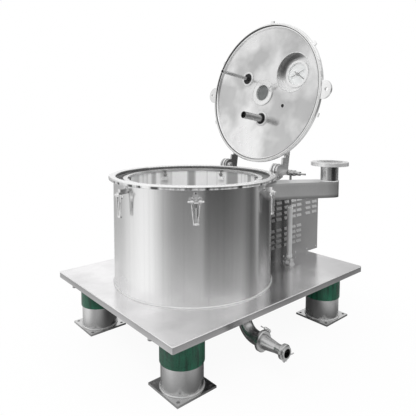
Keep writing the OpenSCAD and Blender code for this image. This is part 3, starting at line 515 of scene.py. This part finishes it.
for name, shade in (("basket_wall", shade_basket_wall), ("green_sleeve", shade_sleeves),
                    ("polished_steel", shade_casing), ("duct_steel", shade_duct),
                    ("pipe_steel", shade_vent_pipe), ("rim_turned", shade_rim), ("lip_steel", shade_hooks),
                    ("nozzle_steel", shade_nozzle), ("white_seal", shade_seal), ("lid_steel", shade_lid),
                    ("plate_steel", shade_plate), ("cover_steel", shade_cover)):
    shade(M[name])

# CAD nodes take the material of their slot, apart from these
OWN_MATERIAL = {
    "basket_wall": "basket_wall", "basket_lip": "lip_steel", "casing_rim": "rim_turned",
    "vent_duct": "duct_steel", "vent_pipe": "pipe_steel", "vent_flange": "flange_steel",
    "lid_ring": "lid_rim", "lid_arm_front": "front_arm", "sight_nozzle": "nozzle_steel",
    "sight_ring": "nozzle_steel", "sight_ring_glass": "shaded_glass", "cylinder_body": "ram_steel",
    "cylinder_foot": "hinge_steel", "hinge_bracket_front": "hinge_steel",
    "hinge_bracket_back": "hinge_steel"}
slot_of = {s["node"]: s["material_slot"] for s in frame["record"]["subparts"]}
for name, o in NODES.items():
    o.data.materials.clear()
    o.data.materials.append(M[OWN_MATERIAL.get(name, slot_of[name])])


# ---------------------------------------------------------------- mesh making
SMOOTH_UNDER = rad(32)                          # sharper edges stay hard


def basis(axis):
    """Two directions square to an axis, and the axis, each one unit long."""
    a = Vector(axis).normalized()
    h = Vector((0, 0, 1)) if abs(a.z) < 0.9 else Vector((1, 0, 0))
    u = h.cross(a).normalized()
    return u, a.cross(u), a


class Maker:
    """Collects closed shapes in one mesh. All its sizes are in metres."""

    def __init__(self):
        self.v = []
        self.f = []

    def add(self, verts, faces):
        n = len(self.v)
        self.v += [tuple(p) for p in verts]
        self.f += [[i + n for i in q] for q in faces]

    def lathe(self, at, axis, prof, seg=32, closed=False):
        """Profile of (radius, height) pairs turned round axis. Open ends get a cap."""
        u, v, a = basis(axis)
        at = Vector(at)
        vs, fs = [], []
        for r, h in prof:
            for i in range(seg):
                t = math.tau * i / seg
                vs.append(at + a * h + (u * math.cos(t) + v * math.sin(t)) * r)
        k = len(prof)
        for j in range(k if closed else k - 1):
            jn = (j + 1) % k
            for i in range(seg):
                i2 = (i + 1) % seg
                fs.append([j * seg + i, j * seg + i2, jn * seg + i2, jn * seg + i])
        if not closed:
            fs.append(list(range(seg))[::-1])
            fs.append([(k - 1) * seg + i for i in range(seg)])
        self.add(vs, fs)

    def rod(self, p, q, r, seg=16):
        """Round bar with a small chamfer at both ends."""
        p, q = Vector(p), Vector(q)
        h = (q - p).length
        c = min(r * 0.15, h * 0.2)
        self.lathe(p, q - p, [(r - c, 0), (r, c), (r, h - c), (r - c, h)], seg)

    def hexa(self, p, axis, flats, h, washer=0.0):
        """Hexagon head or nut, on a washer of that radius if one is given."""
        r = flats / math.sqrt(3)
        p = Vector(p)
        a = Vector(axis).normalized()
        if washer:
            self.lathe(p, a, [(washer * 0.96, 0), (washer, flats * 0.03), (washer * 0.95, flats * 0.12)], 20)
            p = p + a * flats * 0.12
        self.lathe(p, a, [(r * 0.96, 0), (r, h * 0.1), (r, h * 0.78), (r * 0.86, h)], 6)

    def ball(self, p, r, seg=16):
        n = seg // 2
        prof = [(max(r * math.sin(math.pi * i / n), r * 0.02), -r * math.cos(math.pi * i / n))
                for i in range(n + 1)]
        self.lathe(p, UP, prof, seg)

    def torus(self, at, axis, big, small, seg=96, flat=1.0):
        ring = 8
        prof = [(big + small * math.cos(math.tau * i / ring), small * flat * math.sin(math.tau * i / ring))
                for i in range(ring)]
        self.lathe(at, axis, prof, seg, closed=True)

    def tube(self, pts, r, seg=10):
        """Round wire through the points, capped at both ends."""
        pts = [Vector(p) for p in pts]
        vs, fs = [], []
        prev = None
        for i, p in enumerate(pts):
            t = (pts[min(i + 1, len(pts) - 1)] - pts[max(i - 1, 0)]).normalized()
            if prev is None:
                u, v, _ = basis(t)
            else:
                u = (prev - t * prev.dot(t)).normalized()
                v = t.cross(u)
            prev = u
            for k in range(seg):
                a = math.tau * k / seg
                vs.append(p + (u * math.cos(a) + v * math.sin(a)) * r)
        for i in range(len(pts) - 1):
            for k in range(seg):
                k2 = (k + 1) % seg
                fs.append([i * seg + k, i * seg + k2, (i + 1) * seg + k2, (i + 1) * seg + k])
        fs.append(list(range(seg))[::-1])
        fs.append([(len(pts) - 1) * seg + k for k in range(seg)])
        self.add(vs, fs)

    def slab(self, at, size, ux=(1, 0, 0), uy=(0, 1, 0), bevel=0.0015):
        """Block with chamfered edges, its middle in at and its sides along ux and uy."""
        ux, uy = Vector(ux).normalized(), Vector(uy).normalized()
        uz = ux.cross(uy)
        at = Vector(at)
        bm = bmesh.new()
        bmesh.ops.create_cube(bm, size=1.0)
        for v in bm.verts:
            v.co = Vector((v.co.x * size[0], v.co.y * size[1], v.co.z * size[2]))
        b = min(bevel, min(size) * 0.3)
        bmesh.ops.bevel(bm, geom=bm.edges[:] + bm.verts[:], offset=b, segments=2, affect="EDGES", profile=0.5)
        bm.verts.index_update()
        self.add([at + ux * v.co.x + uy * v.co.y + uz * v.co.z for v in bm.verts],
                 [[v.index for v in f.verts] for f in bm.faces])
        bm.free()

    def make(self, name, mat, body=None):
        """Turns what was collected into an object that rides on a body."""
        me = bpy.data.meshes.new(name)
        me.from_pydata(self.v, [], self.f)
        bm = bmesh.new()
        bm.from_mesh(me)
        bmesh.ops.recalc_face_normals(bm, faces=bm.faces)
        for f in bm.faces:
            f.smooth = True
        for e in bm.edges:
            e.smooth = not (len(e.link_faces) == 2 and e.calc_face_angle(0) > SMOOTH_UNDER)
        bm.to_mesh(me)
        bm.free()
        me.materials.append(mat)
        o = bpy.data.objects.new(name, me)
        bpy.context.scene.collection.objects.link(o)
        if body:
            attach(o, body)
        return o


# ---------------------------------------------------------------- welds and trim on the frame
w = Maker()
w.torus(C(0, 0, 354.5), UP, 0.5030, 0.0052, 200, 0.9)
for n in ("front_left", "front_right", "back_left", "back_right"):
    lo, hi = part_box("collar_" + n)
    w.torus(middle(lo, hi, 0.0145), UP, 0.1130, 0.0042, 72)
for z in (985, 1079):
    w.torus(C(*VENT, z), UP, 0.0555, 0.0035, 48)
w.torus(C(DRAIN_X, -540, 313.5), UP, 0.0395, 0.0035, 48)
w.make("weld_beads", M["weld"], "frame")

w = Maker()
w.lathe(C(*VENT, 1101.5), UP, [(0.050, 0), (0.078, 0), (0.0785, 0.0016), (0.0775, 0.0021), (0.050, 0.0021)],
        72, closed=True)
w.make("vent_raised_face", M["stainless_steel"], "frame")


# ---------------------------------------------------------------- drain clamps
def clamp_lug(mk, y, r, ang):
    """Two lugs, an eye bolt and a wing nut on a pipe clamp, at an angle round the drain's axis."""
    u = Vector((math.cos(ang), 0, math.sin(ang)))
    t = Vector((-math.sin(ang), 0, math.cos(ang)))
    c = C(DRAIN_X, y, DRAIN_Z) + u * (r + 0.004)
    for s in (-1, 1):
        mk.slab(c + t * 0.009 * s, (0.020, 0.010, 0.014), u, t, 0.002)
    mk.rod(c - t * 0.020, c + t * 0.036, 0.0038, 12)
    mk.ball(c - t * 0.021, 0.0075, 12)
    n = c + t * 0.020
    mk.lathe(n, t, [(0.0085, 0), (0.0085, 0.004), (0.0065, 0.010), (0.0045, 0.011)], 16)
    for s in (-1, 1):
        a = Vector((0, 1, 0)) * s
        mk.tube([n + t * 0.004 + a * 0.006, n + t * 0.010 + a * 0.011, n + t * 0.017 + a * 0.016,
                 n + t * 0.021 + a * 0.018], 0.0032, 8)


w = Maker()
clamp_lug(w, -676, 0.056, rad(52))              # large clamp
clamp_lug(w, -816, 0.040, rad(-62))             # small clamp
w.torus(C(DRAIN_X, -663.5, DRAIN_Z), (0, 1, 0), 0.0385, 0.003, 48)
w.make("clamp_wing_nuts", M["bolt"], "frame")

# ---------------------------------------------------------------- hinges
ring = 34                                       # radius of the small screws round the shaft
w = Maker()
for arm in ARMS_Y:
    near, far = arm + 12, arm + 52              # the bracket's two faces
    w.lathe(C(HINGE_X, far, HINGE_Z), (0, 1, 0), [(0.022, 0), (0.024, 0.001), (0.024, 0.004),
                                                  (0.022, 0.005)], 32)
    w.hexa(C(HINGE_X, far + 5, HINGE_Z), (0, 1, 0), 0.030, 0.012)
    w.lathe(C(HINGE_X, near, HINGE_Z), (0, -1, 0), [(0.020, 0), (0.020, 0.002), (0.018, 0.003)], 32)
    for k in range(3):
        t = rad(200 + 40 * k)
        w.hexa(C(HINGE_X + ring * math.cos(t), far, HINGE_Z + ring * math.sin(t)), (0, 1, 0), 0.010, 0.004)
w.make("hinge_nuts", M["bolt"], "frame")

# bolts of the lid arms; only the back arm has room for a nut on the hinge shaft
w = Maker()
for arm in ARMS_Y:
    for x in (372, 430):
        for s in (-1, 1):
            w.hexa(L(x, arm + 7 * s, 1075), (0, s, 0), 0.016, 0.008, washer=0.012)
w.hexa(L(HINGE_X, ARMS_Y[1] - 7, HINGE_Z), (0, -1, 0), 0.034, 0.012, washer=0.024)
w.make("lid_arm_bolts", M["bolt"], "lid")

# mounting plates of the arms on the lid's back
w = Maker()
for arm in ARMS_Y:
    w.slab(L(358, arm, LID_Z + 9), (0.076, 0.060, 0.009), LD(1, 0, 0), (0, 1, 0), 0.002)
w.make("lid_arm_feet", M["arm_steel"], "lid")

# ---------------------------------------------------------------- lid, inside
lid_in, lid_out = LD(0, 0, -1), LD(0, 0, 1)

w = Maker()
w.torus(L(0, 0, LID_Z - 6), lid_in, 0.0905, 0.0025, 64)
w.torus(L(0, 0, LID_Z - 6), lid_in, 0.0585, 0.0022, 64)
w.torus(L(*SIGHT, LID_Z), lid_in, 0.1385, 0.0030, 72)
w.torus(L(*SIGHT, SIGHT_GLASS_Z), lid_in, 0.0795, 0.0030, 64)
w.torus(L(*BOSS, LID_Z), lid_in, 0.0145, 0.0016, 32)
w.make("lid_inner_welds", M["weld"], "lid")

# collars at the roots of the two pipes, and dark rings of painted shade in the gap round each pipe
collar_bore = 0.0400
w = Maker()
for x, y in (FEED, WASH):
    w.lathe(L(x, y, LID_Z + 0.5), lid_in, [(collar_bore, 0), (0.0540, 0), (0.0540, 0.006), (0.0515, 0.009),
                                           (0.0425, 0.009), (collar_bore, 0.007)], 48, closed=True)
w.make("pipe_collars", M["weld"], "lid")
# painted shade in the gap round each pipe
w = Maker()
for (x, y), pipe_r in ((FEED, 0.0262), (WASH, 0.0135)):
    edge = collar_bore - 0.0002
    w.lathe(L(x, y, LID_Z + 0.5), lid_in, [(pipe_r, 0), (edge, 0), (edge, 0.0022), (pipe_r, 0.0022)],
            48, closed=True)
w.make("pipe_gap_shade", M["dark"], "lid")

# rotating wiper with two blades on the large sight glass
w = Maker()
g = L(*SIGHT, SIGHT_GLASS_Z)
w.lathe(g, lid_in, [(0.012, 0), (0.012, 0.006), (0.009, 0.012), (0.004, 0.014)], 24)
d1, d2 = LD(0.55, -0.83, 0), LD(-0.40, -0.92, 0)
w.tube([g + lid_in * 0.008, g + lid_in * 0.010 + d1 * 0.035, g + lid_in * 0.006 + d1 * 0.066], 0.0022, 8)
w.slab(g + lid_in * 0.004 + d1 * 0.036, (0.062, 0.007, 0.004), d1, lid_in.cross(d1), 0.001)
w.slab(g + lid_in * 0.004 - d1 * 0.022, (0.026, 0.006, 0.004), d1, lid_in.cross(d1), 0.001)
w.slab(g + lid_in * 0.010 + d2 * 0.004, (0.118, 0.005, 0.003), d2, lid_in.cross(d2), 0.001)
w.make("sight_wiper", M["arm_steel"], "lid")

# spray arm from the middle glass towards the sight nozzle, its heights from the lid's underside
w = Maker()
arm_way = [(-10, -66, -8), (-14, -70, -20), (-24, -76, -28), (-33, -85, -31), (-46, -112, -31),
           (-60, -142, -29), (-66, -156, -26)]
w.tube([L(x, y, LID_Z + z) for x, y, z in arm_way], 0.0032, 10)
w.slab(L(-33, -85, LID_Z - 31), (0.026, 0.014, 0.012), LD(-0.4, -0.92, 0), LD(0.92, -0.4, 0), 0.002)
w.make("spray_arm", M["bolt"], "lid")

# dark disc at the bottom of the blind instrument boss: painted shade in the hole
w = Maker()
w.lathe(L(*BOSS, LID_Z + 4), lid_out, [(0.0118, 0), (0.0124, 0.0006), (0.0124, 0.0050), (0.0118, 0.0056)], 32)
w.make("boss_hole_shade", M["dark"], "lid")

# ---------------------------------------------------------------- lid, outside
big_ring, small_ring = 108, 76                  # bolt circles of the two glasses
w = Maker()
for i in range(8):
    t = math.tau * (i + 0.5) / 8
    w.hexa(L(SIGHT[0] + big_ring * math.cos(t), SIGHT[1] + big_ring * math.sin(t), LID_Z + 74), lid_out,
           0.016, 0.008, washer=0.012)
for i in range(6):
    t = math.tau * i / 6
    w.hexa(L(small_ring * math.cos(t), small_ring * math.sin(t), LID_Z + 22), lid_out, 0.011, 0.006)
w.make("sight_glass_bolts", M["bolt"], "lid")

# ---------------------------------------------------------------- motor cover
# dark slabs of painted shade in the slots under the louvres: five columns of eight and two of four, with a
# gap after the fourth row
row_pitch = 39
w = Maker()
columns = [COVER_X + COVER_LONG * f for f in (0.073, 0.198, 0.344, 0.469, 0.579, 0.759, 0.896)]
for side in (-1, 1):
    for ci, x in enumerate(columns):
        for k in range(8 if ci < 5 else 4):
            z = COVER_TOP - 92 - row_pitch * (k + (1 if k > 3 else 0))
            w.slab(C(x, side * (COVER_Y + 0.4), z - 1.4), (0.050, 0.0012, 0.0014), bevel=0.0003)
w.make("louvre_slot_shade", M["dark"], "frame")

SCREW = [(0.006, 0), (0.006, 0.001), (0.0035, 0.0032)]
w = Maker()
for side in (-1, 1):
    for x in (545, 700, 840, 980, 1092):
        for z in (372, 836):
            w.lathe(C(x, side * COVER_Y, z), (0, side, 0), SCREW, 16)
cover_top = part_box("motor_cover")[1][2] * 1000
for y in (-140, -50, 50, 140):
    w.lathe(C(1100, y, cover_top), UP, SCREW, 16)
w.make("cover_screws", M["bolt"], "frame")

# ---------------------------------------------------------------- lift cylinder
w = Maker()
for z in (414, 755):
    w.hexa(C(LIFT[0] - 18, LIFT[1], z), (-1, 0, 0), 0.014, 0.010)
w.lathe(C(*LIFT, 765), UP, [(0.016, 0), (0.016, 0.006), (0.0095, 0.008), (0.0085, 0.008)], 6)
w.make("cylinder_ports", M["bolt"], "cylinder")
w = Maker()
for s in (-1, 1):
    w.hexa(C(LIFT[0], LIFT[1] + s * 27, 385), (0, s, 0), 0.018, 0.006)
w.make("cylinder_foot_bolts", M["bolt"], "frame")

# ---------------------------------------------------------------- latches
for i, turn in enumerate(LATCH_TURNS, 1):
    t = rad(turn)
    out_way, side_way = Vector((math.cos(t), math.sin(t), 0)), Vector((-math.sin(t), math.cos(t), 0))
    pivot = C(LATCH_R * math.cos(t), LATCH_R * math.sin(t), LATCH_Z)

    w = Maker()                                 # balls and washers on the bracket's pin, and a screw
    for s in (-1, 1):
        w.ball(pivot + side_way * 0.0385 * s, 0.0062, 14)
        w.lathe(pivot + side_way * 0.029 * s, side_way * s, [(0.007, 0), (0.007, 0.003), (0.005, 0.004)], 16)
    w.hexa(pivot + out_way * 0.0095 + UP * 0.006, out_way, 0.012, 0.006)
    w.make("latch_bracket_nuts_%d" % i, M["latch_steel"], "frame")

    w = Maker()                                 # dark plate between the bracket's feet and the wall: painted reflection of the casing
    face = C(WALL_FACE * math.cos(t), WALL_FACE * math.sin(t), LATCH_Z)
    corners = [(-0.026, 0.014), (0.026, 0.014), (0.006, 0.048), (-0.006, 0.048)]
    w.add([face + side_way * a + UP * h + out_way * d for d in (0, 0.0022) for a, h in corners],
          [[3, 2, 1, 0], [4, 5, 6, 7], [0, 1, 5, 4], [1, 2, 6, 5], [2, 3, 7, 6], [3, 0, 4, 7]])
    w.make("latch_pad_%d" % i, M["rubber"], "frame")

    w = Maker()                                 # ball at the loop's lower end
    w.ball(pivot - UP * 0.119, 0.0062, 14)
    w.make("latch_knob_%d" % i, M["latch_steel"], "latch_%d" % i)

    w = Maker()                                 # dark strip along the flat lever: painted shade on its side face
    w.slab(pivot + side_way * 0.0079 - UP * 0.058, (0.0035, 0.0042, 0.044), side_way, out_way, 0.0008)
    w.make("latch_lever_groove_%d" % i, M["rubber"], "latch_%d" % i)

# ---------------------------------------------------------------- studio
scene = bpy.context.scene
scene.view_settings.view_transform = "Standard"
WHITE = (1, 1, 1, 1)


def background(nt, colour, strength):
    n = node(nt, "ShaderNodeBackground")
    feed(nt, n.inputs["Color"], colour)
    feed(nt, n.inputs["Strength"], strength)
    return n.outputs[0]


def choose(nt, fac, first, second):
    """The first shader where fac is 0 and the second where it is 1."""
    n = node(nt, "ShaderNodeMixShader")
    for i, v in enumerate((fac, first, second)):
        nt.links.new(v, n.inputs[i])
    return n.outputs[0]


def az(deg):
    """Place of a compass direction on the ramp of bands."""
    return ((deg + 180.0) % 360.0) / 360.0


world = bpy.data.worlds.new("studio")
scene.world = world
world.use_nodes = True
nt = world.node_tree
nt.nodes.clear()
out = node(nt, "ShaderNodeOutputWorld")
sky = node(nt, "ShaderNodeSeparateXYZ")
nt.links.new(node(nt, "ShaderNodeTexCoord").outputs["Generated"], sky.inputs[0])
# soft boxes and dark flags round the machine, which only its metal sees;
# overhead and below they fade to white
compass = calc(nt, "ARCTAN2", sky.outputs["Y"], sky.outputs["X"])
bands = ramp(nt, span(nt, compass, -math.pi, math.pi), sorted([
    (az(56), 0.90), (az(66), 0.95), (az(75), 0.42), (az(92), 0.50), (az(112), 0.52), (az(132), 0.80),
    (az(158), 1.00), (az(172), 0.90), (0.9999, 0.68), (0.0001, 0.68), (az(190), 0.42), (az(206), 0.21),
    (az(226), 0.17), (az(243), 0.22), (az(248), 0.035), (az(276), 0.035), (az(306), 0.14), (az(321), 0.06),
    (az(328), 0.16), (az(333), 0.62), (az(337), 0.05), (az(8), 0.05), (az(22), 0.22), (az(34), 0.72)]))
lift = span(nt, sky.outputs["Z"], 0.14, 0.64, 0.0, 0.95, "SMOOTHSTEP")
drop = span(nt, sky.outputs["Z"], -0.20, -0.50, 0.0, 0.5, "SMOOTHSTEP")
room = background(nt, blend(nt, calc(nt, "MAXIMUM", lift, drop), bands, 1.0), 1.0)
ray = node(nt, "ShaderNodeLightPath").outputs
lit = choose(nt, ray["Is Glossy Ray"], background(nt, WHITE, 0.62), room)
seen = calc(nt, "MAXIMUM", ray["Is Camera Ray"], ray["Is Transmission Ray"])
nt.links.new(choose(nt, seen, lit, background(nt, WHITE, 1.0)), out.inputs["Surface"])


def lamp(name, at, to, size, power):
    """Area lamp that no metal mirrors."""
    li = bpy.data.lights.new(name, "AREA")
    li.shape = "RECTANGLE"
    li.size, li.size_y = size
    li.energy = power
    o = bpy.data.objects.new(name, li)
    scene.collection.objects.link(o)
    o.location = at
    o.rotation_euler = (Vector(to) - Vector(at)).to_track_quat("-Z", "Y").to_euler()
    o.visible_glossy = False


lamp("key", (-3.4, -2.2, 4.2), (0, 0, 0.8), (2.4, 2.4), 120)
lamp("fill", (3.2, -3.6, 2.6), (0, 0, 0.8), (1.4, 2.6), 42)
lamp("rear", (1.0, 4.2, 3.2), (0, 0, 0.9), (3.0, 1.6), 60)

# ---------------------------------------------------------------- floor
paper, nt, b = new_material("floor_paper")
b.inputs["Roughness"].default_value = 0.9
b.inputs["Specular IOR Level"].default_value = 0.1
feed(nt, b.inputs["Base Color"], ramp(nt, noise(nt, 3.0, 2.0), [(0.3, 0.86), (0.7, 0.88)]))
ray = node(nt, "ShaderNodeLightPath").outputs
where, part = place_of(nt)
away = length(nt, where)
# the camera sees white paper with a faint shadow
seen = calc(nt, "MULTIPLY", ray["Is Camera Ray"], span(nt, away, 0.7, 1.5, 0.94, 1.0))
glow_share = calc(nt, "MAXIMUM", seen, calc(nt, "MULTIPLY", ray["Is Glossy Ray"], 0.8))
# metal sees the paper in shade under the base plate, which is 1.72 by 1.32 m, and out of it beyond
reach = calc(nt, "MAXIMUM", calc(nt, "MULTIPLY", calc(nt, "ABSOLUTE", part["X"]), 1 / 0.86),
             calc(nt, "MULTIPLY", calc(nt, "ABSOLUTE", part["Y"]), 1 / 0.66))
shade = span(nt, reach, 0.72, 1.25, 0.03, 0.60, "SMOOTHSTEP")
glow = node(nt, "ShaderNodeEmission")
feed(nt, glow.inputs["Strength"], calc(nt, "ADD", 1.0, calc(nt, "MULTIPLY", ray["Is Glossy Ray"],
                                                            calc(nt, "SUBTRACT", shade, 1.0))))
# further out metal sees through the paper to the studio's lower half
gone = calc(nt, "MULTIPLY", ray["Is Glossy Ray"], span(nt, away, 0.85, 1.20, kind="SMOOTHSTEP"))
surface = choose(nt, gone, choose(nt, glow_share, b.outputs[0], glow.outputs[0]),
                 node(nt, "ShaderNodeBsdfTransparent").outputs[0])
nt.links.new(surface, nt.nodes["Material Output"].inputs["Surface"])

floor = Maker()
floor.lathe((0, 0, -0.0065), UP, [(0.02, 0), (1.7, 0), (1.7, 0.006), (0.02, 0.006)], 96)
fo = floor.make("floor_disc", paper)

# ---------------------------------------------------------------- camera
# fitted to the photograph's plate, casing, rim and legs
yaw, pitch, roll = rad(-41.114), rad(4.42), rad(0.107)
fwd = Vector((-math.sin(yaw) * math.cos(pitch), math.cos(yaw) * math.cos(pitch), -math.sin(pitch)))
level = Vector((math.cos(yaw), math.sin(yaw), 0))
upright = level.cross(fwd)
right = level * math.cos(roll) + upright * math.sin(roll)
up = upright * math.cos(roll) - level * math.sin(roll)
focal, width = 431.32, 416                      # both in pixels of the photograph
cam = bpy.data.cameras.new("camera")
cam.sensor_width = 36.0
cam.lens = focal / width * cam.sensor_width
cam.shift_x = -0.0004
cam.shift_y = -0.13596
cam.clip_end = 60
co = bpy.data.objects.new("camera", cam)
scene.collection.objects.link(co)
co.matrix_world = Matrix.Translation(C(-1729.9, -2127.7, 1371.7)) @ Matrix((
    (right.x, up.x, -fwd.x), (right.y, up.y, -fwd.y), (right.z, up.z, -fwd.z))).to_4x4()
scene.camera = co
